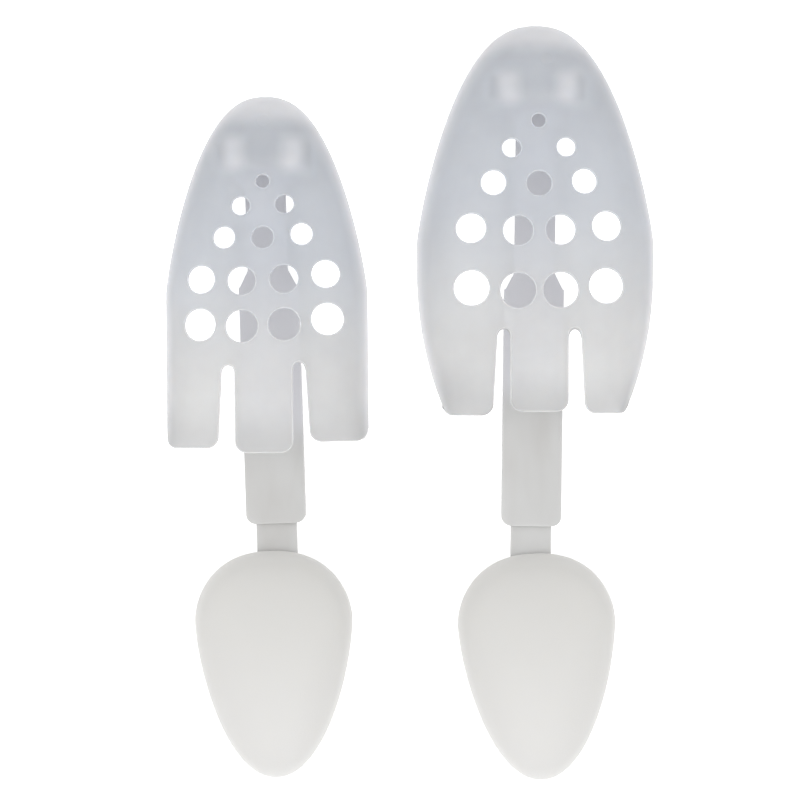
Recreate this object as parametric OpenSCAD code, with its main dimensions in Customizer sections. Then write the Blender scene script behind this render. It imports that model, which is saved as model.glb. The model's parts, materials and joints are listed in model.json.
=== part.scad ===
// A set of two adjustable shoe stretchers, one large and one small, lying side by side.
// Millimetres, +Z up, toes towards +Y, table at z = 0. Each stretcher is four moulded pieces:
// a vented toe shell, a front arm hinged under its nose, a heel arm that clicks along
// inside the front arm's sleeve, and a heel cup hinged on the heel arm's end.

/* [Large toe shell] */
// Full width of the large toe shell
large_w = 80.4; // [72:0.1:100]
// Its length from the nose to the ends of its wings
large_l = 131.8; // [122:0.1:160]
// Height of its crown above the table
large_h = 24; // [21:0.5:32]
// Length over which its nose widens to the full width
large_nose = 74; // [60:1:100]
// How fast its sides curve in behind the tip, 1 for quickly and 2 for an ellipse
large_side_power = 1.22; // [1.05:0.01:2]
// Distance behind the nose at which its sides start to draw in
large_taper_start = 81; // [70:1:110]
// How far each side has drawn in at the wing ends
large_taper = 9.9; // [0:0.1:12]
// Length of its tongue's end behind the nose
large_tongue_l = 130.8; // [122:0.1:160]
// Distance of the toe hinge behind the nose
large_hinge = 22.8; // [21:0.1:28]
// Distance of the round slot ends behind the nose
large_slot = 103.3; // [98:0.1:115]
// Angle at which its vents, slots and wing ends stand askew, with the right side ahead
large_skew = 0.9; // [0:0.1:2.5]
// Distance of the single front vent behind the nose
large_front_vent = 34.4; // [32:0.1:38]
// Radius of the single front vent
large_front_vent_r = 2.3; // [1.5:0.1:3]
// Distances behind the nose of the rows of two, three, four and four vents
large_vent_rows = [43.5, 54.9, 69.8, 89.6]; // [40:0.1:94]
// Distance of the outermost vents in those rows from the middle
large_vent_x = [9, 15, 22.4, 22.2]; // [8:0.1:26]
// Radii of the vents in those rows
large_vent_r = [3.1, 4.1, 4.9, 5.8]; // [2:0.1:6.2]

/* [Small toe shell] */
// Full width of the small toe shell
small_w = 68.5; // [64:0.5:88]
// Its length from the nose to the ends of its wings
small_l = 117.9; // [112:0.1:145]
// Height of its crown above the table
small_h = 22.5; // [21:0.5:30]
// Length over which its nose widens to the full width
small_nose = 67; // [52:1:90]
// How fast its sides curve in behind the tip, 1 for quickly and 2 for an ellipse
small_side_power = 1.23; // [1.05:0.01:2]
// Distance behind the nose at which its sides start to draw in
small_taper_start = 81; // [70:1:100]
// How far each side has drawn in at the wing ends
small_taper = 0; // [0:0.1:10]
// Length of its tongue's end behind the nose
small_tongue_l = 120.4; // [112:0.1:145]
// Distance of the toe hinge behind the nose
small_hinge = 20.9; // [20:0.1:26]
// Distance of the round slot ends behind the nose
small_slot = 90.9; // [86:0.1:100]
// Angle at which its vents, slots and wing ends stand askew, with the right side ahead
small_skew = 2.2; // [0:0.1:2.5]
// Distance of the single front vent behind the nose
small_front_vent = 30.4; // [29:0.1:33]
// Radius of the single front vent
small_front_vent_r = 2.2; // [1.5:0.1:2.6]
// Distances behind the nose of the rows of two, three, four and four vents
small_vent_rows = [38.4, 48.6, 62.1, 77.1]; // [36:0.1:84]
// Distance of the outermost vents in those rows from the middle
small_vent_x = [7.2, 12.8, 20.6, 21.1]; // [6.5:0.1:23]
// Radii of the vents in those rows
small_vent_r = [3, 3.6, 4.6, 5.3]; // [2:0.1:5.8]

/* [Both toe shells] */
// Wall of the toe shells
shell_t = 1.8; // [1.2:0.1:2.4]
// Distance of the inner vents of the rows of four from the middle
inner_vent_x = 7; // [6.4:0.1:8]
// How far they stand behind the outer ones
inner_vent_back = 1.2; // [0:0.1:2]
// Width of the tongue between the two relief slots
tongue_w = 19.2; // [15:0.1:22]
// Width of the relief slots at their round ends
slot_w = 4.2; // [3:0.1:6]
// How much wider the slots are at their open ends
slot_flare = 1.2; // [0:0.1:2.5]
// Corner radius of the wings and the tongue
tab_r = 4; // [2:0.1:6]

/* [Front arms] */
// Length of the large one from the toe hinge to the full width of the sleeve
large_neck_l = 67; // [50:0.5:90]
// The same length of the small one
small_neck_l = 44; // [36:0.5:70]
// Width of the neck
neck_w = 13.6; // [10:0.1:16]
// Thickness of the neck and the fork
neck_t = 2.4; // [1.6:0.1:3]
// Width of the sleeve
sleeve_w = 20; // [18.5:0.1:26]
// Length of the sleeve
sleeve_l = 79.5; // [72:0.5:110]
// Wall above the heel arm
roof_t = 1.6; // [1:0.1:2]
// Wall below the heel arm
lip_t = 1.4; // [1:0.1:2]
// How far each lip reaches under the heel arm
lip_w = 2.4; // [1.5:0.1:2.8]
// Corner radius of the sleeve's open end, seen from above
sleeve_r = 3.2; // [1:0.1:5]

/* [Heel arms] */
// Width of the heel arm
heel_w = 13.6; // [11:0.1:14.4]
// Thickness of the heel arm
heel_t = 2; // [1.8:0.1:2.6]
// Clearance between the heel arm and each wall of the sleeve
slide_gap = 0.2; // [0.1:0.05:0.3]
// Bare length between the sleeve and the cup, as the stretcher lies
bare_l = 9.2; // [9:0.1:20]
// Length inside the sleeve, as the stretcher lies
inside_l = 67; // [64:0.5:67.5]
// How far it can be pushed in from there
push_in = 8; // [4:4:8]
// How far it can be drawn out from there
draw_out = 40; // [20:4:40]
// Distance between two clicks
click = 4; // [3:0.5:5]
// Depth of the notches on its underside
notch_depth = 0.9; // [0.5:0.1:1]

/* [Heel cups] */
// Full width of the cup
cup_w = 53.2; // [46:0.1:64]
// Length of the cup from its front rim to its tail
cup_l = 78; // [70:0.5:95]
// Height of the cup above its own rim
cup_h = 12.5; // [11:0.5:16]
// Distance of its widest place behind the front rim
cup_widest = 23.5; // [20:0.5:32]
// Wall of the cup
cup_t = 2; // [1.4:0.1:2.4]
// Distance of its hinge behind the front rim
cup_hinge = 20; // [16:0.5:26]
// Clearance between its front rim and the heel arm below
rim_gap = 0.5; // [0.4:0.1:1]

/* [Hinges] */
// Radius of the stub pins
pin_r = 2; // [1.5:0.1:2.2]
// Clearance between a stub pin and its lug
pin_gap = 0.08; // [0.03:0.01:0.1]
// Radius of the lugs around the stub pins
lug_r = 3.8; // [3.5:0.1:4.2]
// Thickness of each lug
lug_t = 3.2; // [2.4:0.1:4]
// Gap between an arm's edge and the lug beside it
lug_gap = 0.4; // [0.3:0.1:0.8]
// Height of the toe hinge above the table
hinge_z = 8; // [7.8:0.1:8.4]
// Full width over the fork's prongs at the toe hinge
fork_w = 24; // [23:0.5:26]
// Radius of the crotch between the prongs
crotch_r = 8; // [6:0.1:8.5]
// How far the prongs reach ahead of the toe hinge
prong_l = 4.5; // [4:0.1:4.8]

/* [How the set lies] */
// Distance between the two toe hinges across the table
spacing = 91.5; // [84:0.1:130]
// How far the large cup's tail lies behind the small one's
tail_step = 0.9; // [0:0.1:10]
// Turn of the small stretcher on the table, anticlockwise from above
small_turn = 0.5; // [-3:0.1:3]
// Lean of the small front arm to one side, from the play at its toe hinge
small_lean = 1.4; // [-1.5:0.1:1.5]
// Lean of the large front arm in the same way
large_lean = -0.7; // [-1.5:0.1:1.5]
// Turn of the small cup on its arm, from the play at its own hinge
small_cup_turn = -1.3; // [-3.5:0.1:3.5]
// Turn of the large cup in the same way
large_cup_turn = 3.2; // [-3.5:0.1:3.5]
// How far the small cup's shell sits to the right of its hinge's middle
small_cup_aside = -2; // [-2.5:0.1:2.5]
// How far the large one's does
large_cup_aside = 2.1; // [-2.5:0.1:2.5]

/* [Hidden] */
$fn = 64;
clear_plastic = [0.80, 0.82, 0.85];
arm_plastic = [0.82, 0.82, 0.82];
cup_plastic = [0.91, 0.91, 0.89];
over = 1;                       // how far a cut runs past a face
weld = 0.01;                    // how far two joined solids reach into each other
tip_power = 2.4;                // bluntness of the noses, 2 for an ellipse
taper_power = 2.2;              // how late the sides draw in
crown_at = 0.85;                // share of a toe shell's length at which it reaches its full height
crown_power = 2.2;              // how steeply it rises behind the nose
cup_nose_power = 1.85;          // how fast the cup widens behind its front rim
cup_tail_powers = [1.55, 2.05]; // shape of its sides from the widest place to the tail
cup_crown_at = 0.45;            // share of the cup's length at which it is highest
cup_rise_power = 2;             // how steeply it rises to there, with a round front
cup_fall_power = 1.8;           // and how full it stays towards the tail
arch_side = 2.4;                // fullness of the arched sections at their sides
first_station = 0.15;           // the domes' tips are cut flat this far behind the true tip
station_power = 1.7;            // how closely the rings stand together at the nose
shell_steps = 30;               // rings along a toe shell
cup_steps = 24;                 // rings along a cup
shell_arch_steps = 26;          // facets across a toe shell
cup_arch_steps = 20;            // facets across a cup

// Heights in the arms: the neck, fork and sleeve share one flat top.
arm_top = hinge_z + neck_t / 2;
slot_top = arm_top - roof_t;
heel_top = slot_top - slide_gap;
heel_z = heel_top - heel_t / 2;
slot_bottom = heel_top - heel_t - slide_gap;
sleeve_bottom = slot_bottom - lip_t;

// Lengths along a stretcher from its toe hinge to the cup's front rim
front_wall = 2.5;               // closed end of the sleeve
shoulder_l = 5.5;               // taper from the neck to the sleeve
fork_l = 6;                     // plate of the fork behind the hinge
step_in = 0.4;                  // small steps where the neck meets the fork and the sleeve
prong_taper = 1.2;              // the prongs narrow from here, ahead of the toe hinge
prong_tip = 1.6;                // to this width at their tips
prong_r = lug_r - 1;            // each prong thickens to this radius round its pin
prong_in = 0.4;                 // how far outside the crotch that thickening starts
knuckle_r = lug_r - 1.2;        // the heel arm thickens to this radius at the cup's hinge
slot_half_w = heel_w / 2 + slide_gap;
cup_tilt = asin((heel_top + rim_gap) / cup_l);
cup_plan_l = cup_l * cos(cup_tilt);
function sleeve_end(neck_l) = neck_l + sleeve_l;
function cup_front(neck_l) = sleeve_end(neck_l) + bare_l;
function reach(neck_l) = cup_front(neck_l) + cup_plan_l;

// The click: a bar on a springy strip in the sleeve's floor, and notches across the heel arm
bar_in = 6;                     // distance of the bar inside the sleeve's open end
bar_w = 6;                      // length of the bar across the arm
bar_l = 1.4;                    // its thickness along the arm
bar_up = 0.7;                   // how far it stands into a notch
bar_room = 0.3;                 // clearance of a notch round the bar
spring_w = 6.4;                 // width of the springy strip
spring_l = 18;                  // its free length
bridge_l = 4;                   // bar across the floor that it grows from
clicks = round((push_in + draw_out) / click);

// Places of the two stretchers: the large one is centred in Y, and the small one's tail near its.
large_y = (reach(large_neck_l) - large_hinge) / 2;
small_y = large_y - reach(large_neck_l) + reach(small_neck_l) + tail_step;
large_x = (spacing - large_w / 2 + small_w / 2) / 2;
small_x = large_x - spacing;

function sum_power(u, p, q) = pow(max(0, 1 - pow(1 - min(1, u), p)), 1 / q);

// Half-width of a toe shell at s behind its nose, with its walls moved in by t
function shell_half(s, w, l, nose, power, taper_start, taper, t) =
    (w / 2 - t) * sum_power((s - t) / (nose - t), power, tip_power)
    - (s > taper_start ? taper * pow((s - taper_start) / (l - taper_start), taper_power) : 0);
function shell_height(s, h, l, t) = (h - t) * sum_power((s - t) / (crown_at * l), crown_power, tip_power);

// Half-width and height of the cup at s behind its front rim
function cup_half(s, t) = (cup_w / 2 - t) * (s < cup_widest
    ? sum_power((s - t) / (cup_widest - t), cup_nose_power, tip_power)
    : pow(1 - pow((s - cup_widest) / (cup_l - t - cup_widest), cup_tail_powers[0]), 1 / cup_tail_powers[1]));
function cup_height(s, t) = let (crown = cup_crown_at * cup_l) (cup_h - t) * (s < crown
    ? sum_power((s - t) / (crown - t), cup_rise_power, cup_rise_power)
    : pow(1 - pow((s - crown) / (cup_l - t - crown), 2), 1 / cup_fall_power));

// Stations close together at the tip, and at the tail too when both ends are round
function open_stations(first, last, n) =
    [for (i = [0:n]) first + (last - first) * pow(i / n, station_power)];
function closed_stations(first, last, n) =
    [for (i = [0:n]) first + (last - first) * (1 - cos(180 * i / n)) / 2];

// Closed solid under an arched surface. Ring i stands at distance s[i] behind the tip, w[i] wide
// on each side and h[i] high, and its walls drop straight to z = -drop.
module dome(s, w, h, steps, drop = 0) {
    rings = len(s);
    side = drop > 0 ? 1 : 0;
    size = steps + 1 + 2 * side;
    function arch(i, j) = let (a = 90 - 180 * j / steps, x = sin(a), z = max(0, cos(a)))
        [w[i] * sign(x) * pow(abs(x), 2 / arch_side), -s[i],
         j == 0 || j == steps ? 0 : h[i] * z];
    points = [for (i = [0:rings - 1]) each concat(
        drop > 0 ? [[w[i], -s[i], -drop]] : [],
        [for (j = [0:steps]) arch(i, j)],
        drop > 0 ? [[-w[i], -s[i], -drop]] : [])];
    function at(i, j) = i * size + j;
    skin = [for (i = [0:rings - 2], j = [0:size - 2])
        each [[at(i, j), at(i + 1, j), at(i + 1, j + 1)], [at(i, j), at(i + 1, j + 1), at(i, j + 1)]]];
    base = [for (i = [0:rings - 2]) each [
        [at(i, size - 1), at(i + 1, size - 1), at(i + 1, 0)], [at(i, size - 1), at(i + 1, 0), at(i, 0)]]];
    front = [for (j = [1:size - 2]) [at(0, 0), at(0, j), at(0, j + 1)]];
    rear = [for (j = [1:size - 2]) [at(rings - 1, 0), at(rings - 1, j + 1), at(rings - 1, j)]];
    polyhedron(points, concat(skin, base, front, rear), convexity = 6);
}

// A pin or a hole across the stretcher, from x = a to x = b on both sides of the middle
module across(a, b, r) {
    for (side = [-1, 1]) translate([side * (a + b) / 2, 0, 0])
        rotate([0, 90, 0]) cylinder(h = b - a, r = r, center = true);
}

// Two lugs that hang from a roof to a hinge, with the hinge axis along x at the origin
module lugs(inner, up) {
    for (side = [-1, 1]) translate([side * (inner + lug_t / 2), 0, 0]) {
        rotate([0, 90, 0]) cylinder(h = lug_t, r = lug_r, center = true);
        translate([-lug_t / 2, -lug_r, 0]) cube([lug_t, 2 * lug_r, up]);
    }
}

// Outline of a toe shell from above, with the nose at y = 0: the wings, the tongue and the slots.
// The slot and the wing end of each half stand further ahead by their x times tan(skew).
module shell_plan(w, slot, wing_end, tongue_end, corner_x, skew) {
    slot_x = tongue_w / 2 + slot_w / 2;
    wing_x = slot_x + slot_w / 2;
    root = -slot - slot_w / 2 + slot_x * tan(skew);
    for (side = [-1, 1]) {
        slot_y = -slot - slot_w / 2 + side * slot_x * tan(skew);
        end_y = -wing_end + side * (wing_x + corner_x) / 2 * tan(skew);
        difference() {
            translate([side > 0 ? -weld : -w, slot_y]) square([w + weld, w + slot]);
            translate([side * slot_x, slot_y]) circle(r = slot_w / 2);
        }
        mirror([side > 0 ? 0 : 1, 0])
            tab(wing_x, wing_x + slot_flare, corner_x, w, end_y, slot_y, tab_r);
    }
    tab(-tongue_w / 2, -tongue_w / 2, tongue_w / 2, tongue_w / 2, -tongue_end, root, tab_r);
}

// A tab from y = root back to y = end, with its sides at a and d at the root and two round
// corners of radius r at its end, whose outsides are at b and c
module tab(a, b, c, d, end, root, r) {
    polygon([[a, root], [b, end + r], [d, end + r], [d, root]]);
    translate([b + r, end]) square([c - b - 2 * r, r + weld]);
    for (x = [b + r, c - r]) translate([x, end + r]) circle(r = r);
}

module toe_shell(w, l, h, nose, power, taper_start, taper, tongue_l, hinge, slot, skew,
                 front_vent, front_vent_r, vent_rows, vent_x, vent_r) {
    end = max(l, tongue_l) + over;
    function half(s, t) = shell_half(s, w, l, nose, power, taper_start, taper, t);
    outer = open_stations(first_station, end + over, shell_steps);
    inner = open_stations(shell_t + first_station, end + 2 * over, shell_steps);
    translate([0, hinge, 0]) difference() {
        intersection() {
            dome(outer, [for (s = outer) half(s, 0)],
                 [for (s = outer) shell_height(s, h, l, 0)], shell_arch_steps);
            translate([0, 0, -over]) linear_extrude(h + 2 * over)
                shell_plan(w, slot, l, tongue_l, half(l - tab_r, 0), skew);
        }
        difference() {
            dome(inner, [for (s = inner) half(s, shell_t)],
                 [for (s = inner) shell_height(s, h, l, shell_t)], shell_arch_steps, 2 * over);
            translate([0, -hinge, hinge_z]) lugs(fork_w / 2 + lug_gap, h);
        }
        translate([0, -hinge, hinge_z])
            across(fork_w / 2, fork_w / 2 + lug_gap + lug_t + over, pin_r + pin_gap);
        translate([0, -front_vent, hinge_z]) cylinder(h = h, r = front_vent_r);
        vent(0, vent_rows[1] + inner_vent_back / 2, vent_r[1], h, 0);
        for (side = [-1, 1]) {
            for (row = [0:3]) vent(side * vent_x[row], vent_rows[row], vent_r[row], h, skew);
            for (row = [2, 3])
                vent(side * inner_vent_x, vent_rows[row] + inner_vent_back, vent_r[row], h, skew);
        }
    }
}

// The cut of a vent at x and a distance behind the nose
module vent(x, back, r, h, skew) {
    translate([x, x * tan(skew) - back, -over]) cylinder(h = h + 2 * over, r = r);
}

// Front arm with its toe hinge at the origin: the fork and its pins stay square to the shell
module front_arm(neck_l, lean) {
    pin_end = fork_w / 2 + lug_gap + lug_t;
    translate([0, 0, hinge_z]) {
        linear_extrude(neck_t, center = true) difference() {
            union() {
                polygon([
                    [-fork_w / 2, -fork_l], [-fork_w / 2, prong_taper], [-crotch_r - prong_tip, prong_l],
                    [crotch_r + prong_tip, prong_l], [fork_w / 2, prong_taper], [fork_w / 2, -fork_l]]);
                rotate(lean) neck_plan(neck_l);
            }
            translate([0, prong_l]) circle(r = crotch_r);
        }
        across(crotch_r + prong_in, fork_w / 2, prong_r);
        across(crotch_r + prong_in, pin_end, pin_r);
    }
    rotate([0, 0, lean]) translate([0, -neck_l - sleeve_l, 0]) sleeve();
}

// Neck from above, widening to the fork at one end and to just inside the sleeve at the other
module neck_plan(neck_l) {
    for (side = [0, 1]) mirror([side, 0]) polygon([
        [-weld, -fork_l + step_in], [fork_w / 2 - step_in, -fork_l + step_in],
        [neck_w / 2, -fork_l - shoulder_l], [neck_w / 2, -neck_l + shoulder_l],
        [sleeve_w / 2 - step_in, -neck_l], [sleeve_w / 2 - step_in, -neck_l - front_wall / 2],
        [-weld, -neck_l - front_wall / 2]]);
}

// The sleeve with its open end at y = 0: a channel over the heel arm, open between two lips below
module sleeve() {
    bar_y = bar_in - bar_l / 2;
    lips_x = slot_half_w - lip_w;
    difference() {
        translate([0, 0, sleeve_bottom]) linear_extrude(arm_top - sleeve_bottom) {
            translate([-sleeve_w / 2, sleeve_r]) square([sleeve_w, sleeve_l - sleeve_r]);
            translate([-sleeve_w / 2 + sleeve_r, 0]) square([sleeve_w - 2 * sleeve_r, sleeve_r + weld]);
            for (side = [-1, 1]) translate([side * (sleeve_w / 2 - sleeve_r), sleeve_r]) circle(r = sleeve_r);
        }
        translate([-slot_half_w, -over, slot_bottom])
            cube([2 * slot_half_w, sleeve_l - front_wall + over, slot_top - slot_bottom]);
        translate([-lips_x, -over, sleeve_bottom - over])
            cube([2 * lips_x, sleeve_l - front_wall + over, lip_t + 2 * over]);
    }
    translate([-lips_x - weld, bar_y + spring_l, sleeve_bottom]) cube([2 * (lips_x + weld), bridge_l, lip_t]);
    translate([-spring_w / 2, bar_y - bar_l, sleeve_bottom]) cube([spring_w, spring_l + bar_l + weld, lip_t]);
    translate([-bar_w / 2, bar_y, slot_bottom - weld]) cube([bar_w, bar_l, slide_gap + bar_up + weld]);
}

// Heel arm, with y = 0 at the sleeve's open end as the stretcher lies
module heel_arm(cup_turn) {
    hinge_y = -bare_l - cup_hinge;
    difference() {
        translate([-heel_w / 2, hinge_y, heel_z - heel_t / 2]) cube([heel_w, inside_l - hinge_y, heel_t]);
        for (k = [0:clicks]) translate([0, bar_in - push_in + k * click, heel_z - heel_t / 2])
            cube([bar_w + 2 * bar_room, bar_l + 2 * bar_room, 2 * notch_depth], center = true);
    }
    translate([0, hinge_y, heel_z]) rotate([0, 0, cup_turn]) {
        rotate([0, 90, 0]) cylinder(h = heel_w, r = knuckle_r, center = true);
        across(heel_w / 2 - 1, heel_w / 2 + lug_gap + lug_t, pin_r);
    }
}

// Heel cup, with its hinge at x = y = 0 and its rim tilted from the table up to the heel arm
module heel_cup(aside) {
    outer = closed_stations(first_station, cup_l - first_station, cup_steps);
    inner = closed_stations(cup_t + first_station, cup_l - cup_t - first_station, cup_steps);
    difference() {
        cup_lie(aside) dome(outer, [for (s = outer) cup_half(s, 0)],
                            [for (s = outer) cup_height(s, 0)], cup_arch_steps);
        difference() {
            cup_lie(aside) dome(inner, [for (s = inner) cup_half(s, cup_t)],
                                [for (s = inner) cup_height(s, cup_t)], cup_arch_steps, over);
            translate([0, 0, heel_z]) lugs(heel_w / 2 + lug_gap, 2 * cup_h);
        }
        translate([0, 0, heel_z]) across(heel_w / 2, heel_w / 2 + lug_gap + lug_t + over, pin_r + pin_gap);
    }
}

// Puts the cup's front rim at its place ahead of the hinge and its tail on the table
module cup_lie(aside) {
    translate([aside, cup_hinge - cup_plan_l, 0]) rotate([cup_tilt, 0, 0]) translate([0, cup_l, 0])
        children();
}

module large_place() { translate([large_x, large_y, 0]) children(); }
module small_place() { translate([small_x, small_y, 0]) rotate([0, 0, small_turn]) children(); }
module behind(neck_l, lean, length) { rotate([0, 0, lean]) translate([0, -length, 0]) children(); }

module large_toe_shell() {
    color(clear_plastic) large_place()
        toe_shell(large_w, large_l, large_h, large_nose, large_side_power, large_taper_start,
                  large_taper, large_tongue_l, large_hinge, large_slot, large_skew, large_front_vent,
                  large_front_vent_r, large_vent_rows, large_vent_x, large_vent_r);
}
module small_toe_shell() {
    color(clear_plastic) small_place()
        toe_shell(small_w, small_l, small_h, small_nose, small_side_power, small_taper_start,
                  small_taper, small_tongue_l, small_hinge, small_slot, small_skew, small_front_vent,
                  small_front_vent_r, small_vent_rows, small_vent_x, small_vent_r);
}
module large_front_arm() { color(arm_plastic) large_place() front_arm(large_neck_l, large_lean); }
module small_front_arm() { color(arm_plastic) small_place() front_arm(small_neck_l, small_lean); }
module large_heel_arm() {
    color(arm_plastic) large_place() behind(large_neck_l, large_lean, sleeve_end(large_neck_l))
        heel_arm(large_cup_turn);
}
module small_heel_arm() {
    color(arm_plastic) small_place() behind(small_neck_l, small_lean, sleeve_end(small_neck_l))
        heel_arm(small_cup_turn);
}
module large_heel_cup() {
    color(cup_plastic) large_place() behind(large_neck_l, large_lean, cup_front(large_neck_l) + cup_hinge)
        rotate([0, 0, large_cup_turn]) heel_cup(large_cup_aside);
}
module small_heel_cup() {
    color(cup_plastic) small_place() behind(small_neck_l, small_lean, cup_front(small_neck_l) + cup_hinge)
        rotate([0, 0, small_cup_turn]) heel_cup(small_cup_aside);
}

large_toe_shell();
large_front_arm();
large_heel_arm();
large_heel_cup();
small_toe_shell();
small_front_arm();
small_heel_arm();
small_heel_cup();
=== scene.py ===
import json
import math
import bmesh
import bpy
import numpy as np
from mathutils.geometry import delaunay_2d_cdt
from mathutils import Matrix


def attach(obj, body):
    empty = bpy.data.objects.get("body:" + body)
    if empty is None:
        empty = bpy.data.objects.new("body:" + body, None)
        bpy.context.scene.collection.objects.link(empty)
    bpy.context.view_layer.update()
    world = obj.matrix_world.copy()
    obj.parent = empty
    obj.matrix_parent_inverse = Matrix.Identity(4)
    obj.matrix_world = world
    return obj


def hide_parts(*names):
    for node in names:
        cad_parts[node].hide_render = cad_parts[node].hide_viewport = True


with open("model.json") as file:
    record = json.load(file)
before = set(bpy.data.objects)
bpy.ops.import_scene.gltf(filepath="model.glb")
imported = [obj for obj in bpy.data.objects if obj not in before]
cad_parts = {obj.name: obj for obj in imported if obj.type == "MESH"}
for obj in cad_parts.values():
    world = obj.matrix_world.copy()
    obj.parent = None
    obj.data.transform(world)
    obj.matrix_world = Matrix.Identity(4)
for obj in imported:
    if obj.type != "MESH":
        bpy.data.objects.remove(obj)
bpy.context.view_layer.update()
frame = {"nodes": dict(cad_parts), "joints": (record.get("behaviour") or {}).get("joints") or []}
joints = {joint["name"]: joint for joint in frame["joints"]}
print("frame loaded:", len(frame["nodes"]), "moulded pieces")

mm = 0.001
tipPower = 2.4          # bluntness of the noses
sectionPower = 2.4      # fullness of the arched sections at their sides
mergeDistance = 1e-6    # metres within which two points are one
tiny = 1e-6             # stands for a width of 0 where it is divided by
lugSink = 0.05          # mm that a lug stands into the roof over it


# Surfaces

def placeAt(jointName):
    # Points are in millimetres round a hinge: x along its pin, y towards the toes, z above the
    # table. The result puts them into the frame, in metres, turned as the pin is turned.
    joint = joints[jointName]
    turn = math.atan2(joint["axis"][1], joint["axis"][0])
    along = np.array([math.cos(turn), math.sin(turn), 0])
    ahead = np.array([-math.sin(turn), math.cos(turn), 0])
    up = np.array([0, 0, 1])
    start = np.array([joint["pos_m"][0], joint["pos_m"][1], 0])
    return lambda p: start + mm * (p[:, :1] * along + p[:, 1:2] * ahead + p[:, 2:] * up)


def rise(u, p, q):
    # Grows from 0 to 1 while u does: the q-th root of one less the p-th power of what is left.
    return (1 - (1 - np.clip(u, 0, 1)) ** p) ** (1 / q)


def closedPiece(name, points, faces, edge, finish, body):
    # A mesh from points and faces, with its doubled points merged and its faces turned outward.
    # Its attribute edge, for the materials, is 1 on the rounded edges and 0 away from them.
    mesh = bpy.data.meshes.new(name)
    mesh.from_pydata(points.tolist(), [], [f for block in faces for f in block.tolist()])
    mesh.attributes.new("edge", "FLOAT", "POINT").data.foreach_set("value", edge.astype(np.float32))
    work = bmesh.new()
    work.from_mesh(mesh)
    bmesh.ops.remove_doubles(work, verts=work.verts, dist=mergeDistance)
    bmesh.ops.recalc_face_normals(work, faces=work.faces)
    work.to_mesh(mesh)
    work.free()
    mesh.shade_smooth()
    piece = bpy.data.objects.new(name, mesh)
    bpy.context.scene.collection.objects.link(piece)
    mesh.materials.append(finish)
    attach(piece, body)
    return piece


def bridge(loopA, loopB):
    # Four-sided faces between two closed rows of the same number of points.
    return np.column_stack([loopA, np.roll(loopA, -1), np.roll(loopB, -1), loopB])


def lug(k, xNear, xFar, roofAt, hingeZ):
    # A plate with a hole: its outline is a half circle below the pin and goes straight up from
    # there to the roof. Rows run from the hole out over one face and back over the other.
    steps = k["lugSteps"]
    turn = np.linspace(0, math.pi, steps + 1)
    side = np.linspace(0, 1, steps // 3 + 1)[:-1]             # up a straight side
    across = np.linspace(1, -1, steps + 1 - 2 * len(side))    # and along the roof
    rows = []
    for x, ring in ((xNear, k["pinHole"]), (xNear, None), (xFar, None), (xFar, k["pinHole"])):
        angle = np.concatenate([turn, turn[1:-1] + math.pi])
        if ring:
            y, z = ring * np.cos(angle), ring * np.sin(angle)
        else:
            top = roofAt(np.full(len(across), x), k["lugRadius"] * across) - hingeZ
            upper = np.concatenate([
                np.column_stack([np.full(len(side), k["lugRadius"]), side * top[0]]),
                np.column_stack([k["lugRadius"] * across, top]),
                np.column_stack([np.full(len(side), -k["lugRadius"]), side[::-1] * top[-1]])])
            lower = k["lugRadius"] * np.column_stack([np.cos(turn[1:-1] + math.pi),
                                                      np.sin(turn[1:-1] + math.pi)])
            y, z = np.concatenate([upper, lower]).T
        rows.append(np.column_stack([np.full(len(y), x), y, z + hingeZ]))
    count = len(rows[0])
    ids = np.arange(4 * count).reshape(4, count)
    faces = np.concatenate([bridge(ids[i], ids[(i + 1) % 4]) for i in range(4)])
    return np.concatenate(rows), faces


# Materials

class Wire:
    # A socket of a material, so that shader sums are written as sums.
    def __init__(self, finish, socket):
        self.finish, self.socket = finish, socket

    def sum(self, operation, a, b):
        return self.finish.node("ShaderNodeMath", {"operation": operation}, {0: a, 1: b})

    def __add__(self, other):
        return self.sum("ADD", self, other)

    def __radd__(self, other):
        return self.sum("ADD", other, self)

    def __sub__(self, other):
        return self.sum("SUBTRACT", self, other)

    def __rsub__(self, other):
        return self.sum("SUBTRACT", other, self)

    def __mul__(self, other):
        return self.sum("MULTIPLY", self, other)

    def __rmul__(self, other):
        return self.sum("MULTIPLY", other, self)

    def __abs__(self):
        return self.sum("ABSOLUTE", self, 0)


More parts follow.
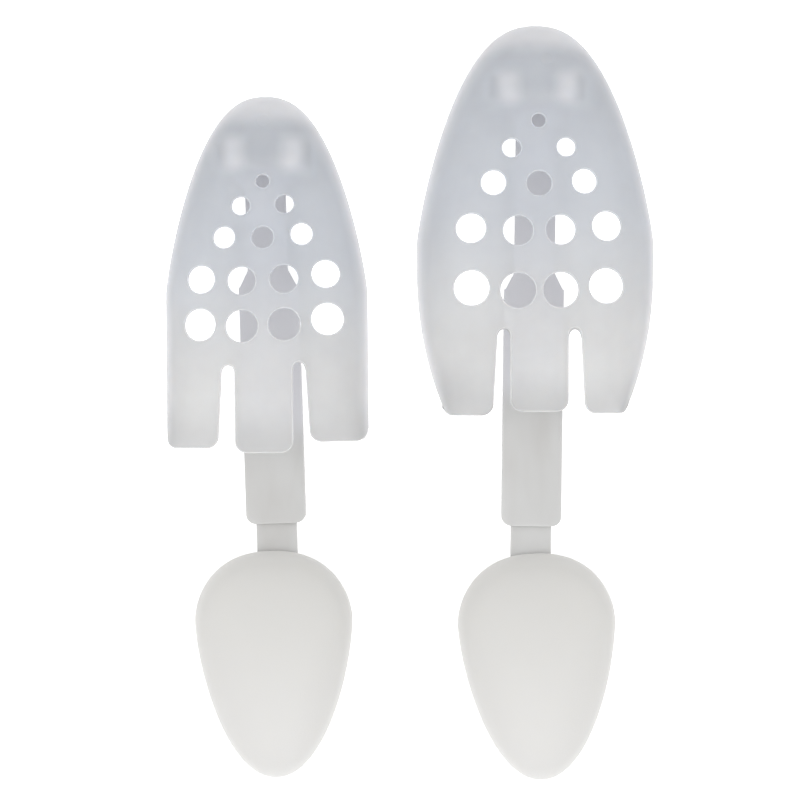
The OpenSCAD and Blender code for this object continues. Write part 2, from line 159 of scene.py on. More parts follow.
class Finish:
    # The nodes of a material or of the world.
    def __init__(self, owner):
        self.owner = owner
        owner.use_nodes = True
        self.tree = owner.node_tree
        self.tree.nodes.clear()

    def node(self, kind, settings, sockets, output=0):
        # Any node: its settings first, then the values or links of its sockets.
        node = self.tree.nodes.new(kind)
        for name, value in settings.items():
            setattr(node, name, value)
        for name, value in sockets.items():
            if isinstance(value, Wire):
                self.tree.links.new(value.socket, node.inputs[name])
            else:
                node.inputs[name].default_value = value
        return Wire(self, node.outputs[output]) if node.outputs else None

    def place(self):
        return self.node("ShaderNodeTexCoord", {}, {}, "Object")

    def along(self, axis):
        # Distance from the frame's origin along X, Y or Z, in metres.
        return self.node("ShaderNodeSeparateXYZ", {}, {"Vector": self.place()}, axis)

    def edge(self):
        # The mesh's own attribute, 1 on its rounded edges.
        return self.node("ShaderNodeAttribute", {"attribute_name": "edge"}, {}, "Fac")

    def noise(self, scale, detail, roughness=0.5, stretch=(1, 1, 1)):
        where = self.node("ShaderNodeMapping", {}, {"Vector": self.place(), "Scale": stretch})
        return self.node("ShaderNodeTexNoise", {},
                         {"Vector": where, "Scale": scale, "Detail": detail, "Roughness": roughness})

    def between(self, value, low, high, start=0.0, end=1.0):
        # Goes smoothly from start to end while value goes from low to high.
        return self.node("ShaderNodeMapRange", {"interpolation_type": "SMOOTHSTEP"},
                         {"Value": value, "From Min": low, "From Max": high,
                          "To Min": start, "To Max": end})

    def window(self, value, middle, half, soft):
        # 1 up to half away from the middle, 0 beyond, with a soft change between.
        return self.between(abs(value - middle), half + soft, half - soft)

    def spread(self, noise, low, high):
        # Noise mostly lies between 0.3 and 0.7, and is carried from there to low and high.
        return self.between(noise, 0.3, 0.7, low, high)

    def greyOf(self, level, blue=1.0):
        # A grey of a changing level, with its blue a little stronger.
        return self.node("ShaderNodeCombineColor", {}, {0: level, 1: level, 2: blue * level})

    def blendColour(self, amount, first, second, how="MIX"):
        return self.node("ShaderNodeMix", {"data_type": "RGBA", "blend_type": how},
                         {0: amount, 6: first, 7: second}, 2)

    def bump(self, height, distance, strength, under=None):
        # Relief of the given depth in metres, laid over the relief under it.
        sockets = {"Height": height, "Distance": distance, "Strength": strength}
        if under:
            sockets["Normal"] = under
        return self.node("ShaderNodeBump", {}, sockets)

    def seen(self):
        # 1 for the rays that look at the background, 0 for those that only light the object.
        camera, glossy, through = (self.node("ShaderNodeLightPath", {}, {}, "Is " + kind + " Ray")
                                   for kind in ("Camera", "Glossy", "Transmission"))
        return 1 - (1 - camera) * (1 - glossy) * (1 - through)

    def surface(self, shader):
        # Ends a material's nodes and gives the material.
        self.node("ShaderNodeOutputMaterial", {}, {"Surface": shader})
        return self.owner

    def plastic(self, look, glow, sockets):
        # What all three finishes share: plastic that scatters light inside itself, with a weak
        # painted glow, an emission, where that light would come out.
        return self.surface(self.node("ShaderNodeBsdfPrincipled", {"subsurface_method": "RANDOM_WALK"}, {
            "IOR": 1.49, "Subsurface Weight": look["scatter"], "Subsurface Radius": look["scatterTint"],
            "Subsurface Scale": look["scatterDepth"], "Emission Strength": 1.0,
            "Emission Color": self.greyOf(glow, look["glowBlue"]), **sockets}))


def colour(red, green, blue):
    # A colour read off a screen, 0 to 255, as the linear values that a shader takes.
    screen = np.array([red, green, blue]) / 255
    linear = np.where(screen <= 0.04045, screen / 12.92, ((screen + 0.055) / 1.055) ** 2.4)
    return (*linear.tolist(), 1.0)


clearLook = {
    "deep": colour(220, 224, 231),    # the domed middle: painted shade of the raised dome over its hollow, partly the plastic's own blue
    "thick": colour(244, 244, 247),   # painted pale light: the wall seen along itself near the rim, and the hinge's pads
    "late": colour(236, 236, 236),    # painted light: the flatter wings and tongue lighter than the dome
    "end": colour(219, 219, 219),     # painted shade at their ends
    "alpha": 0.42, "rimAlpha": 0.3, "edgeAlpha": 0.2, "cloudAlpha": 0.08,
    "rimFrom": 11.5, "rimTo": 2,      # heights in mm between which the painted pale light comes in,
    "noseFrom": 13, "noseTo": 3.5,    # and distances behind the nose
    "lateFrom": 0.4, "lateTo": 0.85,  # shares of the length between which the wings' painted lighter colour comes in
    "endFrom": 17, "endTo": 2,        # mm before the ends of the wings, for their painted shade
    "paleShare": 0.8, "hingeShare": 0.5,      # how strongly the painted pale light comes in there
    "prongX": 9.8, "prongHalf": 3.3, "pinHalf": 5.6, "soft": 3,   # where the hinge shows through as painted pale light,
    "barShow": 0.4, "neckShow": 0.22,         # with its bar and the neck behind it more faintly,
    "hingeAlpha": 0.12, "lugAlpha": 0.22,     # and how much it and its lugs close the wall
    "edgeGlow": 0.07, "noseGlow": 0.015, "glowBlue": 1.05,   # painted glow for light that the wall carries to its edges and nose
    "scatter": 0.55, "scatterTint": (0.9, 1.0, 1.1), "scatterDepth": 0.0025,
    "cloudScale": 38, "flowScale": 120, "skinScale": 2600, "speckScale": 900,
    "drift": 0.004,                   # metres that the clouds move the borders of colours
    "shades": (0.965, 1.035), "roughness": (0.35, 0.49), "skinDepth": 0.00004, "speckDepth": 0.00005,
}


def clearPlastic(k):
    # Natural polypropylene, see-through, with a fine spark-eroded skin and flow clouds. Its colour
    # carries painted light and shade: a bluish painted shade in the dome, partly the plastic's own
    # blue, painted pale light where the wall is seen along itself and in the flat wings, and painted
    # shade at the ends. Over the hinge the fork and the lugs lie close under the wall, and two painted
    # pale pads stand for the light they show. Cut edges and the nose carry a painted glow, standing
    # for light that runs inside the wall and comes out there.
    look = clearLook
    f = Finish(bpy.data.materials.new(k["name"] + "Plastic"))
    hingeX, hingeY, _ = joints[k["hinge"]]["pos_m"]
    noseY = hingeY + mm * k["hingeAt"]
    endY = noseY - mm * k["length"]
    across, ahead, height = f.along("X") - hingeX, f.along("Y"), f.along("Z")
    clouds = f.noise(look["cloudScale"], 3)
    flow = f.noise(look["flowScale"], 3, stretch=(1, 0.12, 1))
    skin = f.noise(look["skinScale"], 2)
    specks = f.between(f.noise(look["speckScale"], 1), 0.66, 0.72)    # only the noise's peaks
    drift = (clouds - 0.5) * look["drift"]

    # Where the painted pale light, the wings' painted lighter colour and the ends' painted shade come in
    rimward = f.between(height + drift, mm * look["rimFrom"], mm * look["rimTo"])
    noseward = f.between(ahead + drift, noseY - mm * look["noseFrom"], noseY - mm * look["noseTo"])
    pale = rimward + noseward - rimward * noseward
    rearward = f.between(ahead + 2.5 * drift, noseY - mm * look["lateFrom"] * k["length"],
                         noseY - mm * look["lateTo"] * k["length"])
    # painted shade towards the ends of the wings and tongue
    endShade = f.between(ahead + drift, endY + mm * look["endFrom"], endY + mm * look["endTo"])
    edge = f.edge()

    # What lies under the wall at the hinge, each as a soft patch: painted pale light for the fork, more
    # opacity over the lugs
    prongX, prongHalf, pinHalf, soft = (
        mm * look[part] for part in ("prongX", "prongHalf", "pinHalf", "soft"))
    prongs = f.window(abs(across), prongX, prongHalf, soft) * f.window(ahead, hingeY, pinHalf, soft)
    bar = (f.window(across, 0, prongX, soft)
           * f.window(ahead, hingeY - 0.6 * pinHalf, 0.4 * pinHalf, soft))
    neck = (f.window(across + drift, 0, 0.5 * prongX, 2 * soft)
            * f.between(ahead, hingeY - pinHalf, hingeY - 2 * pinHalf))
    hinge = prongs + look["barShow"] * bar + look["neckShow"] * neck
    lugs = (f.window(abs(across), mm * k["lugNear"], 1.4 * prongHalf, 1.6 * soft)
            * f.window(ahead, hingeY, pinHalf, 1.6 * soft))

    # Painted light and shade in the base colour: the shaded dome, the lighter wings, the pale rim and
    # hinge pads, and the darker ends
    base = f.blendColour(rearward, look["deep"], look["late"])
    base = f.blendColour(look["paleShare"] * pale + look["hingeShare"] * hinge * (1 - pale),
                         base, look["thick"])
    base = f.blendColour(endShade * (1 - edge), base, look["end"])
    shade = f.spread(clouds * 0.7 + flow * 0.3, *look["shades"])
    alpha = (look["alpha"] + pale * look["rimAlpha"] + hinge * look["hingeAlpha"]
             + lugs * (1 - pale) * look["lugAlpha"] + edge * look["edgeAlpha"]
             + (clouds - 0.5) * look["cloudAlpha"])
    normal = f.bump(skin, look["skinDepth"], 0.5)
    # Painted glow, an emission, at the cut edges and the nose
    return f.plastic(look, edge * look["edgeGlow"] + noseward * look["noseGlow"], {
        "Base Color": f.blendColour(1.0, base, f.greyOf(shade), "MULTIPLY"),
        "Roughness": f.spread(skin * 0.5 + flow * 0.5, *look["roughness"]),
        "Alpha": alpha, "Normal": f.bump(specks, look["speckDepth"], 0.35, normal)})


armLook = {
    "body": colour(209, 208, 206), "streak": colour(216, 216, 215), "alpha": 0.92, "cloudAlpha": 0.06,
    "covered": colour(226, 226, 230), "coveredGlow": 0.035,    # painted light and painted glow where the shell would light the arms,
    "coveredFrom": -1, "coveredTo": 14,                        # mm ahead of the tongue's end,
    "slotGlow": 0.035, "slotFrom": 5, "slotTo": -1,            # and more painted glow behind the slots' fronts
    "glowBlue": 1.03, "scatter": 0.5, "scatterTint": (1.0, 1.0, 1.0), "scatterDepth": 0.002,
    "cloudScale": 60, "scratchScale": 700, "skinScale": 2600,
    "roughness": (0.32, 0.48), "skinDepth": 0.00003, "scratchDepth": 0.00002,
}


def armPlastic(k):
    # The same plastic in flat, thicker strips: neutral and nearly opaque. Under the shell its
    # colour is painted paler and bluer, with a painted glow, for the light that the shell scatters
    # inward, less and less towards the tongue's end.
    look = armLook
    f = Finish(bpy.data.materials.new(k["name"] + "Arms"))
    noseY = joints[k["hinge"]]["pos_m"][1] + mm * k["hingeAt"]
    tongueY, slotY = noseY - mm * k["tongueLength"], noseY - mm * k["slotAt"]
    ahead = f.along("Y")
    # painted light under the shell, fading out towards the tongue's end
    covered = f.between(ahead, tongueY + mm * look["coveredFrom"], tongueY + mm * look["coveredTo"])
    besideTongue = f.between(ahead, slotY + mm * look["slotFrom"], slotY + mm * look["slotTo"])
    clouds = f.noise(look["cloudScale"], 3, stretch=(1, 0.3, 1))
    scratches = f.noise(look["scratchScale"], 2, stretch=(1, 0.03, 1))
    skin = f.noise(look["skinScale"], 2)
    base = f.blendColour(f.between(clouds, 0.35, 0.65), look["body"], look["streak"])
    normal = f.bump(skin, look["skinDepth"], 0.4)
    return f.plastic(look, covered * (look["coveredGlow"] + look["slotGlow"] * besideTongue), {
        "Base Color": f.blendColour(covered, base, look["covered"]),
        "Roughness": f.spread(scratches * 0.6 + skin * 0.4, *look["roughness"]),
        "Alpha": look["alpha"] + (clouds - 0.5) * look["cloudAlpha"],
        "Normal": f.bump(scratches, look["scratchDepth"], 0.5, normal)})


cupLook = {
    # Painted shade: the raised front darker, the tail, which lies on the table, lighter
    "front": colour(220, 219, 216), "tail": colour(226, 225, 223),
    "frontAt": 15, "tailAt": -55, "drift": 0.012,    # mm ahead of the hinge, moved by the clouds
    # painted glow on the rounded rim and the low wall above it
    "edgeGlow": 0.09, "glowBlue": 1.0,
    "scatter": 0.25, "scatterTint": (1.0, 0.95, 0.85), "scatterDepth": 0.002,
    "cloudScale": 45, "skinScale": 1900, "roughness": (0.44, 0.58), "skinDepth": 0.00006,
}


def cupPlastic(name, hinge):
    # Milky white, warm and opaque, with a finely textured outside. Its colour is painted darker
    # at the raised front and lighter towards the tail, as shade, and its rim carries a painted glow.
    look = cupLook
    f = Finish(bpy.data.materials.new(name + "Plastic"))
    hingeY = joints[hinge]["pos_m"][1]
    clouds = f.noise(look["cloudScale"], 3)
    skin = f.noise(look["skinScale"], 3, 0.6)
    # painted shade from the front to the tail
    tailward = f.between(f.along("Y") + (clouds - 0.5) * look["drift"],
                         hingeY + mm * look["frontAt"], hingeY + mm * look["tailAt"])
    return f.plastic(look, f.edge() * look["edgeGlow"], {
        "Base Color": f.blendColour(tailward, look["front"], look["tail"]),
        "Roughness": f.spread(skin, *look["roughness"]),
        "Normal": f.bump(skin, look["skinDepth"], 0.6)})


# Toe shells

bothShells = {
    "wall": 1.8, "taperPower": 2.2, "crownAt": 0.85, "crownPower": 2.2,
    "innerVentX": 7, "innerVentBack": 1.2,       # the inner two vents of each rear row
    "tongueWidth": 19.2, "slotWidth": 4.2, "slotFlare": 1.2, "corner": 4,
    "hingeZ": 8, "lugNear": 12.4, "lugFar": 15.6, "lugRadius": 3.8, "pinHole": 2.08, "lugSteps": 24,
    "rimRound": 0.5, "edgeRound": 0.4,           # radii of the moulded edges, and how far above
    "settleHeight": 3,                           # the rim the cut's rounding fades in
    "gateRadius": 2.0, "gateDepth": 0.1, "gateWidth": 0.3,    # the ring that the mould's gate leaves,
    "gateRings": (-1.3, -0.6, -0.3, 0, 0.3, 0.6),             # with rows of points beside it
    "rows": 110, "rowPower": 1.6, "columns": 72, "ringSteps": 56, "outlineSteps": 420, "arcSteps": 160,
    "cutGap": 0.5, "ventGap": 0.4, "gateGap": 1,    # mm that the grid keeps from these edges
    "flatScale": 0.35,              # of the shell's width, for an angle of 1 in the flat layout,
    "flatMerge": 1e-7,              # where points as near as this are one
    "cutFrom": -2,                  # mm behind the slots' fronts, where the cut parts the grid
}
largeShell = {
    "name": "largeToeShell", "body": "large_toe", "node": "large_toe_shell", "hinge": "large_toe_hinge",
    "width": 80.4, "length": 131.8, "height": 24, "nose": 74, "sidePower": 1.22, "skew": 0.9,
    "taperStart": 81, "taper": 9.9, "tongueLength": 130.8, "hingeAt": 22.8, "slotAt": 103.3,
    "frontVent": (34.4, 2.3), "ventRows": (43.5, 54.9, 69.8, 89.6),
    "ventX": (9, 15, 22.4, 22.2), "ventR": (3.1, 4.1, 4.9, 5.8), "gateAt": (3, 13),
}
smallShell = {
    "name": "smallToeShell", "body": "small_toe", "node": "small_toe_shell", "hinge": "small_toe_hinge",
    "width": 68.5, "length": 117.9, "height": 22.5, "nose": 67, "sidePower": 1.23, "skew": 2.2,
    "taperStart": 81, "taper": 0, "tongueLength": 120.4, "hingeAt": 20.9, "slotAt": 90.9,
    "frontVent": (30.4, 2.2), "ventRows": (38.4, 48.6, 62.1, 77.1),
    "ventX": (7.2, 12.8, 20.6, 21.1), "ventR": (3, 3.6, 4.6, 5.3), "gateAt": (0, 9.5),
}


def shellHalf(k, s, wall):
    # Half-width at s behind the nose, less what the sides draw in towards the wing ends.
    drawnIn = np.clip((s - k["taperStart"]) / (k["length"] - k["taperStart"]), 0, None)
    return ((k["width"] / 2 - wall) * rise((s - wall) / (k["nose"] - wall), k["sidePower"], tipPower)
            - k["taper"] * drawnIn ** k["taperPower"])


def shellRoof(k, s, x, wall):
    # Height over the table: the crown's height at s times an arch across, with a rounded rim.
    crown = (k["height"] - wall) * rise((s - wall) / (k["crownAt"] * k["length"]),
                                        k["crownPower"], tipPower)
    share = np.clip(np.abs(x) / np.maximum(shellHalf(k, s, wall), tiny), 0, 1)
    return np.hypot(crown * np.sqrt(1 - share ** sectionPower), k["rimRound"])


def shellVents(k):
    # Centre x, distance behind the nose and radius of each vent, the right side ahead by the skew.
    ahead = math.tan(math.radians(k["skew"]))
    places = [(0, *k["frontVent"]), (0, k["ventRows"][1] + k["innerVentBack"] / 2, k["ventR"][1])]
    for side in (-1, 1):
        places += [(side * x, s, r) for s, x, r in zip(k["ventRows"], k["ventX"], k["ventR"])]
        places += [(side * k["innerVentX"], s + k["innerVentBack"], r)
                   for s, r in zip(k["ventRows"][2:], k["ventR"][2:])]
    return [(x, s - x * ahead, r) for x, s, r in places]


def arc(k, x, s, radius, first, last):
    # Points on a circle round (x, s), from the first angle to the last, in degrees.
    angle = np.radians(np.linspace(first, last, k["arcSteps"]))
    return np.column_stack([x + radius * np.cos(angle), s + radius * np.sin(angle)])


def shellOutline(k, inset, wall):
    # The cut edge from the right rim round the wings, slots and tongue to the left rim, moved
    # into the plastic by inset and spaced evenly. Convex corners lose inset, the slots gain it.
    r, c = k["corner"] - inset, k["corner"]
    slotR = k["slotWidth"] / 2
    tongueX = k["tongueWidth"] / 2
    slotX, wingX = tongueX + slotR, tongueX + 2 * slotR
    outerX = shellHalf(k, k["length"] - c, 0)
    ahead = math.tan(math.radians(k["skew"]))
    halves = []
    for side in (1, -1):
        end = k["length"] - c - side * ahead * (wingX + outerX) / 2
        half = np.concatenate([
            arc(k, outerX - c, end, r, 0, 90),
            arc(k, wingX + k["slotFlare"] + c, end, r, 90, 180),
            arc(k, slotX, k["slotAt"] + slotR - side * ahead * slotX, slotR + inset, 0, -180),
            arc(k, tongueX - c, k["tongueLength"] - c, r, 0, 90)])
        halves.append(half * [side, 1])
    points = np.concatenate([halves[0], halves[1][::-1]])
    inside = np.abs(points[:, 0]) < shellHalf(k, points[:, 1], wall)
    points = points[np.argmax(inside):len(points) - np.argmax(inside[::-1])]
    points[[0, -1], 0] = shellHalf(k, points[[0, -1], 1], wall) * [1, -1]
    run = np.concatenate([[0], np.cumsum(np.hypot(*np.diff(points, axis=0).T))])
    even = np.linspace(0, run[-1], k["outlineSteps"] + 1)
    return np.column_stack([np.interp(even, run, points[:, 0]), np.interp(even, run, points[:, 1])])


def rimRows(k, end, wall):
    # Distances behind the nose along the rim, close together at the tip, down to the cut's end.
    return wall + (end - wall) * (np.arange(1, k["rows"] + 1) / k["rows"]) ** k["rowPower"]


def insideLoop(points, loop):
    # Counts how many sides of the loop a level line from each point crosses: an odd number is
    # inside. The smallest number keeps level sides from being divided by 0.
    x, y = points[:, :1], points[:, 1:]
    x0, y0 = loop.T
    x1, y1 = np.roll(loop, -1, axis=0).T
    crosses = ((y0 > y) != (y1 > y)) & (x < (x1 - x0) * (y - y0) / (y1 - y0 + 1e-12) + x0)
    return crosses.sum(axis=1) % 2 == 1


def shellSkin(k, wall):
    # One side of the wall. It is laid out flat on (angle across, distance behind the nose), with
    # the vents' and the outline's edges as rings, cut into triangles there and lifted to the arch.
    inset = k["edgeRound"]
    spread = k["width"] * k["flatScale"]
    cutFrom = k["slotAt"] + k["cutFrom"]
    outline = shellOutline(k, inset, wall)
    rightRows, leftRows = (rimRows(k, outline[i, 1], wall) for i in (0, -1))
    step = rightRows[-1] - rightRows[-2]
    rearRows = np.arange(rightRows[-1] + step, max(k["length"], k["tongueLength"]) + step, step)
    angles = np.linspace(-math.pi / 2, math.pi / 2, k["columns"] + 1)[1:-1]
    gridS, gridA = np.meshgrid(np.concatenate([rightRows, rearRows]), angles, indexing="ij")
    gridS, gridA = gridS.ravel(), gridA.ravel()
    gridX = shellHalf(k, gridS, wall) * np.sin(gridA)
    fromCut = np.hypot(gridX[:, None] - outline[:, 0], gridS[:, None] - outline[:, 1]).min(axis=1)
    keep = fromCut > k["cutGap"]
    rings = []
    ringTurn = np.linspace(0, 2 * math.pi, k["ringSteps"], endpoint=False)
    for x, s, r in shellVents(k):
        keep &= np.hypot(gridX - x, gridS - s) > r + inset + k["ventGap"]
        rings.append([x, s] + (r + inset) * np.column_stack([np.cos(ringTurn), np.sin(ringTurn)]))
    gateX, gateS = k["gateAt"]
    keep &= np.hypot(gridX - gateX, gridS - gateS) > k["gateRadius"] + k["gateGap"]
    gate = [np.column_stack([gateX + r * np.cos(ringTurn), gateS + r * np.sin(ringTurn)])
            for r in k["gateRadius"] + np.array(k["gateRings"])]

    def flat(points):
        # From x across to the angle whose sine is x over the half-width.
        share = np.clip(points[:, 0] / np.maximum(shellHalf(k, points[:, 1], wall), tiny), -1, 1)
        return np.column_stack([np.arcsin(share) * spread, points[:, 1]])

    rimX = math.pi / 2 * spread
    right, left = (np.column_stack([np.full(len(rows), rimX), rows]) for rows in (rightRows, leftRows))
    loop = np.concatenate([[[-rimX, wall]], [[rimX, wall]], right, flat(outline[1:-1]),
                           (left * [-1, 1])[::-1]])
    grid = np.column_stack([gridA * spread, gridS])
    behind = gridS > cutFrom
    keep[behind] &= insideLoop(grid[behind], loop)
    blocks = [loop, *[flat(ring) for ring in rings], *[flat(ring) for ring in gate], grid[keep]]
    starts = np.cumsum([0] + [len(b) for b in blocks])
    points = np.concatenate(blocks)
    edges = np.concatenate([np.column_stack([np.arange(a, b), np.roll(np.arange(a, b), -1)])
                            for a, b in zip(starts[:len(rings) + 1], starts[1:len(rings) + 2])])
    verts, _, faces, _, _, _ = delaunay_2d_cdt(points.tolist(), edges.tolist(), [], 0, k["flatMerge"])
    assert len(verts) == len(points), "the flat layout has doubled points"
    faces = np.array(faces)
    middle = points[faces].mean(axis=1)
    middleX = shellHalf(k, middle[:, 1], wall) * np.sin(middle[:, 0] / spread)
    keep = np.ones(len(faces), bool)
    for x, s, r in shellVents(k):
        keep &= np.hypot(middleX - x, middle[:, 1] - s) > r + inset
    behind = middle[:, 1] > cutFrom
    keep[behind] &= insideLoop(middle[behind], loop)
    s = points[:, 1]
    x = shellHalf(k, s, wall) * np.sin(points[:, 0] / spread)
    z = shellRoof(k, s, x, wall)
    if wall == 0:
        fromGate = np.hypot(x - gateX, s - gateS) - k["gateRadius"]
        z = z - k["gateDepth"] * np.exp(-(fromGate / k["gateWidth"]) ** 2)
    loopIds = np.concatenate([[0], np.arange(2, len(loop))])
    ringIds = [np.arange(a, b) for a, b in zip(starts[1:len(rings) + 1], starts[2:len(rings) + 2])]
    return np.column_stack([x, -s, z]), faces[keep], loopIds, ringIds


def edgeRows(k):
    # How the edges turn from the outside to the inside. Each row has its inset from the cut, its
    # lift over the surface it belongs to, by quarter circles, and that surface's depth.
    turn = np.radians([30, 60, 90])
    inset = k["edgeRound"] * (1 - np.sin(turn))
    drop = k["edgeRound"] * (1 - np.cos(turn))
    return ([(i, -d, 0) for i, d in zip(inset, drop)]
            + [(i, d, k["wall"]) for i, d in zip(inset[::-1], drop[::-1])])


def toeShell(k, finish):
    # Both sides of the wall, joined round the vents and the outline by rows of rounded edges,
    # with two lugs under the roof.
    outside, outFaces, outLoop, outRings = shellSkin(k, 0)
    inside, inFaces, inLoop, inRings = shellSkin(k, k["wall"])
    points = [outside, inside]
    faces = [outFaces, inFaces + len(outside)]
    total = len(outside) + len(inside)
    rows = edgeRows(k)

    def addRows(first, built, last):
        # Joins the outside's loop, first, to the inside's, last, through the rows built between.
        nonlocal total
        before = first
        for row in built:
            ids = np.arange(total, total + len(row))
            points.append(row)
            faces.append(bridge(before, ids))
            total += len(row)
            before = ids
        faces.append(bridge(before, last))

    ringTurn = np.linspace(0, 2 * math.pi, k["ringSteps"], endpoint=False)
    for (x, s, r), first, last in zip(shellVents(k), outRings, inRings):
        built = []
        for inset, lift, wall in rows:
            ringX, ringS = x + (r + inset) * np.cos(ringTurn), s + (r + inset) * np.sin(ringTurn)
            built.append(np.column_stack([ringX, -ringS, shellRoof(k, ringS, ringX, wall) + lift]))
        addRows(first, built, last + len(outside))

    built = []
    for share, (inset, lift, wall) in zip(np.arange(1, len(rows) + 1) / (len(rows) + 1), rows):
        outline = shellOutline(k, inset, wall)
        roof = shellRoof(k, outline[:, 1], outline[:, 0], wall)
        settle = np.clip((roof - k["rimRound"]) / k["settleHeight"], 0, 1)
        cut = np.column_stack([outline[:, 0], -outline[:, 1], roof + lift * settle])
        rimWall = k["wall"] * (1 - math.cos(math.pi * share)) / 2
        rimZ = k["rimRound"] * (1 - math.sin(math.pi * share))
        right, left = (np.column_stack([shellHalf(k, s, rimWall), -s, np.full(len(s), rimZ)])
                       for s in (rimRows(k, outline[i, 1], rimWall) for i in (0, -1)))
        tip = [[0, -rimWall, rimZ]]
        built.append(np.concatenate([tip, right, cut[1:-1], (left * [-1, 1, 1])[::-1]]))
    addRows(outLoop, built, inLoop + len(outside))

    def roofAt(x, y):
        return shellRoof(k, k["hingeAt"] - y, x, k["wall"]) + lugSink

    edge = np.zeros(total)
    edge[len(outside) + len(inside):] = 1
    points = [p + [0, k["hingeAt"], 0] for p in points]
    for side in (-1, 1):
        lugPoints, lugFaces = lug(k, side * k["lugNear"], side * k["lugFar"], roofAt, k["hingeZ"])
        faces.append(lugFaces + total)
        points.append(lugPoints)
        total += len(lugPoints)
    edge = np.append(edge, np.zeros(total - len(edge)))
    points = placeAt(k["hinge"])(np.concatenate(points))
    piece = closedPiece(k["name"], points, faces, edge, finish, k["body"])
    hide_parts(k["node"])
    print(k["name"], len(piece.data.polygons), "faces")
    return piece


for shell in (largeShell, smallShell):
    wholeShell = {**bothShells, **shell}
    toeShell(wholeShell, clearPlastic(wholeShell))


# Heel cups

cup = {
    "width": 53.2, "length": 78, "height": 12.5, "widestAt": 23.5, "wall": 2, "hingeAt": 20,
    "frontZ": 7.9,                                # height of the front rim over the table
    "nosePower": 1.85, "tailPowers": (1.55, 2.05),            # of the outline, and of the crown
    "crownAt": 0.45, "risePower": 2, "fallPowers": (2, 1.8),
    "hingeZ": 6.4, "lugNear": 7.2, "lugFar": 10.4, "lugRadius": 3.8, "pinHole": 2.08, "lugSteps": 24,
    "rimRound": 0.6, "rimBand": 5,                # the rim's rounding, and the height of its band of painted glow
    "rows": 96, "columns": 64, "rimSteps": 8,
}
# Each cup's name, body, node and hinge, and how many mm it lies to the right of its hinge's middle
cups = (("largeCup", "large_cup", "large_heel_cup", "large_cup_hinge", 2.1),
        ("smallCup", "small_cup", "small_heel_cup", "small_cup_hinge", -2))


def cupHalf(k, s, wall):
    # Half-width at s behind the front rim: a blunt nose up to the widest place, a long tail after.
    front = rise((s - wall) / (k["widestAt"] - wall), k["nosePower"], tipPower)
    rear = np.clip((s - k["widestAt"]) / (k["length"] - wall - k["widestAt"]), 0, 1)
    tail = (1 - rear ** k["tailPowers"][0]) ** (1 / k["tailPowers"][1])
    return (k["width"] / 2 - wall) * np.where(s < k["widestAt"], front, tail)


def cupRoof(k, s, x, wall):
    # Height over the cup's own rim plane, rising to the crown and falling to the tail.
    crownS = k["crownAt"] * k["length"]
    front = rise((s - wall) / (crownS - wall), k["risePower"], k["risePower"])
    rear = np.clip((s - crownS) / (k["length"] - wall - crownS), 0, 1)
    fall = (1 - rear ** k["fallPowers"][0]) ** (1 / k["fallPowers"][1])
    along = np.where(s < crownS, front, fall)
    share = np.clip(np.abs(x) / np.maximum(cupHalf(k, s, wall), tiny), 0, 1)
    return np.hypot((k["height"] - wall) * along * np.sqrt(1 - share ** sectionPower), k["rimRound"])


def heelCup(k, name, body, node, hinge, aside, finish):
    # One closed grid: rows go from the front rim to the tail, and each row runs over the outside,
    # round the right rim, back along the inside and round the left rim.
    along = (1 - np.cos(np.linspace(0, math.pi, k["rows"] + 1))) / 2
    angles = np.linspace(-math.pi / 2, math.pi / 2, k["columns"] + 1)
    share = np.arange(1, k["rimSteps"]) / k["rimSteps"]
    turn = np.concatenate([angles, np.full(len(share), math.pi / 2), angles[::-1],
                           np.full(len(share), -math.pi / 2)])
    walls = np.concatenate([np.zeros(len(angles)), k["wall"] * (1 - np.cos(math.pi * share)) / 2,
                            np.full(len(angles), k["wall"]),
                            k["wall"] * (1 + np.cos(math.pi * share)) / 2])
    sink = np.concatenate([np.zeros(len(angles)), np.sin(math.pi * share), np.zeros(len(angles)),
                           np.sin(math.pi * share)]) * k["rimRound"]
    s = walls + (k["length"] - 2 * walls) * along[:, None]
    x = cupHalf(k, s, walls) * np.sin(turn)
    z = cupRoof(k, s, x, walls) - sink
    tilt = math.asin(k["frontZ"] / k["length"])
    planLength = k["length"] * math.cos(tilt)

    def lie(x, s, z):
        # From the cup's own rim plane to the table: turned up by tilt about its tail.
        up = k["length"] - s
        ahead = up * math.cos(tilt) - z * math.sin(tilt) + k["hingeAt"] - planLength
        return np.column_stack([x + aside, ahead, up * math.sin(tilt) + z * math.cos(tilt)])

    points = lie(x.ravel(), s.ravel(), z.ravel())
    # the low wall above the rim also carries the edge attribute, for its painted glow
    lowWall = np.clip(1 - (z - k["rimRound"]) / k["rimBand"], 0, 1) * (walls < k["wall"])
    edge = np.maximum(sink / k["rimRound"], lowWall).ravel()
    ids = np.arange(x.size).reshape(x.shape)
    faces = [np.concatenate([bridge(ids[i], ids[i + 1]) for i in range(k["rows"])])]

    def roofAt(x, y):
        s = k["length"] - (y - k["hingeAt"] + planLength) / math.cos(tilt)
        return lie(x, s, cupRoof(k, s, x - aside, k["wall"]))[:, 2] + lugSink

    total = len(points)
    blocks = [points]
    for side in (-1, 1):
        lugPoints, lugFaces = lug(k, side * k["lugNear"], side * k["lugFar"], roofAt, k["hingeZ"])
        faces.append(lugFaces + total)
        blocks.append(lugPoints)
        total += len(lugPoints)
    edge = np.append(edge, np.zeros(total - len(edge)))
    points = placeAt(hinge)(np.concatenate(blocks))
    piece = closedPiece(name, points, faces, edge, finish, body)
    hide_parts(node)
    print(name, len(piece.data.polygons), "faces")
    return piece


for name, body, node, hinge, aside in cups:
    heelCup(cup, name, body, node, hinge, aside, cupPlastic(name, hinge))


# Arms

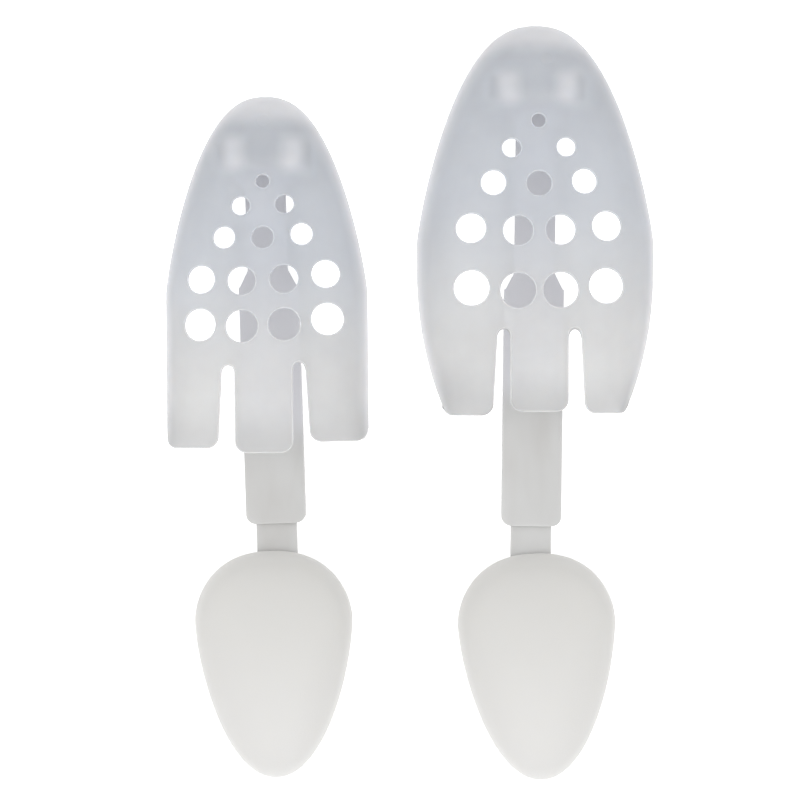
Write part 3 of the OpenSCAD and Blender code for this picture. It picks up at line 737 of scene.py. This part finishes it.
arms = {
    "edgeRadius": 0.35, "edgeSegments": 3,
    "sharpFrom": 35, "flatBelow": 1,      # degrees between two faces, at a sharp edge and on a flat side
    "pieces": ((largeShell, "largeFrontArm", "large_front", "large_front_arm"),
               (largeShell, "largeHeelArm", "large_heel", "large_heel_arm"),
               (smallShell, "smallFrontArm", "small_front", "small_front_arm"),
               (smallShell, "smallHeelArm", "small_heel", "small_heel_arm")),
}


def moulded(name, body, node, finish):
    # The node's own shape, with its loose triangles merged, its flat sides made whole and its
    # sharp edges rounded.
    mesh = frame["nodes"][node].data.copy()
    mesh.name = name
    mesh.materials.clear()
    mesh.materials.append(finish)
    work = bmesh.new()
    work.from_mesh(mesh)
    bmesh.ops.remove_doubles(work, verts=work.verts, dist=mergeDistance)
    bmesh.ops.dissolve_limit(work, angle_limit=math.radians(arms["flatBelow"]), verts=work.verts,
                             edges=work.edges)
    work.to_mesh(mesh)
    work.free()
    mesh.shade_smooth()
    piece = bpy.data.objects.new(name, mesh)
    bpy.context.scene.collection.objects.link(piece)
    bevel = piece.modifiers.new("edges", "BEVEL")
    bevel.width = mm * arms["edgeRadius"]
    bevel.segments = arms["edgeSegments"]
    bevel.limit_method = "ANGLE"
    bevel.angle_limit = math.radians(arms["sharpFrom"])
    bevel.harden_normals = True
    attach(piece, body)
    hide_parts(node)
    return piece


armFinish = {shell["name"]: armPlastic(shell) for shell in (largeShell, smallShell)}
for shell, name, body, node in arms["pieces"]:
    moulded(name, body, node, armFinish[shell["name"]])
print("arms rounded")


# Camera, light and table

view = {"height": 0.68, "x": -0.0031, "y": 0.0011, "lens": 90}    # it looks straight down
studio = {
    "sky": 0.58,                      # light of the world on the object
    "floorColour": 0.92, "floorGlow": 0.8, "floorRoughness": 0.9, "floorSize": 6, "floorDrop": 0.0003,
    "lampSize": 1.2,
    "lamps": (("tailLamp", 7.5, (0, -1.1, 1.2)),      # each lamp's name, watts and place
              ("leftLamp", 4.9, (-1.1, 0.2, 1.0)),
              ("rightLamp", 4.1, (1.1, 0.2, 1.0))),
}


def makeCamera():
    data = bpy.data.cameras.new("camera")
    data.lens = view["lens"]
    camera = bpy.data.objects.new("camera", data)
    camera.location = (view["x"], view["y"], view["height"])
    bpy.context.scene.collection.objects.link(camera)
    bpy.context.scene.camera = camera


def makeLamp(name, power, place):
    # A square lamp turned towards the middle of the set, and not seen itself.
    data = bpy.data.lights.new(name, "AREA")
    data.energy = power
    data.size = studio["lampSize"]
    lamp = bpy.data.objects.new(name, data)
    lamp.location = place
    lamp.rotation_euler = (-lamp.location).to_track_quat("-Z", "Y").to_euler()
    lamp.visible_camera = False
    bpy.context.scene.collection.objects.link(lamp)


def grey(level):
    return (level, level, level, 1.0)


def makeWorld():
    # A plain grey light on the object, white where it is looked at.
    world = bpy.data.worlds.new("studio")
    bpy.context.scene.world = world
    f = Finish(world)
    sky = f.blendColour(f.seen(), grey(studio["sky"]), grey(1))
    shader = f.node("ShaderNodeBackground", {}, {"Color": sky, "Strength": 1.0})
    f.node("ShaderNodeOutputWorld", {}, {"Surface": shader})


def makeFloor():
    # White table: to the eye it glows a little, so that it reads white and its shadows stay, but
    # not through the shells, under which it lies in their shade.
    f = Finish(bpy.data.materials.new("table"))
    through = f.node("ShaderNodeLightPath", {}, {}, "Transparent Depth")
    direct = f.seen() * (1 - f.between(through, 0.2, 0.8))
    shader = f.node("ShaderNodeBsdfPrincipled", {}, {
        "Base Color": grey(studio["floorColour"]), "Roughness": studio["floorRoughness"],
        "Specular IOR Level": 0.0,
        "Emission Color": f.blendColour(direct, grey(0), grey(studio["floorGlow"])),
        "Emission Strength": 1.0})
    bpy.ops.mesh.primitive_plane_add(size=studio["floorSize"], location=(0, 0, -studio["floorDrop"]))
    floor = bpy.context.object
    floor.name = "table"
    floor.data.materials.append(f.surface(shader))


makeCamera()
for lamp in studio["lamps"]:
    makeLamp(*lamp)
makeWorld()
makeFloor()
bpy.context.scene.view_settings.view_transform = "Standard"
print("studio ready")
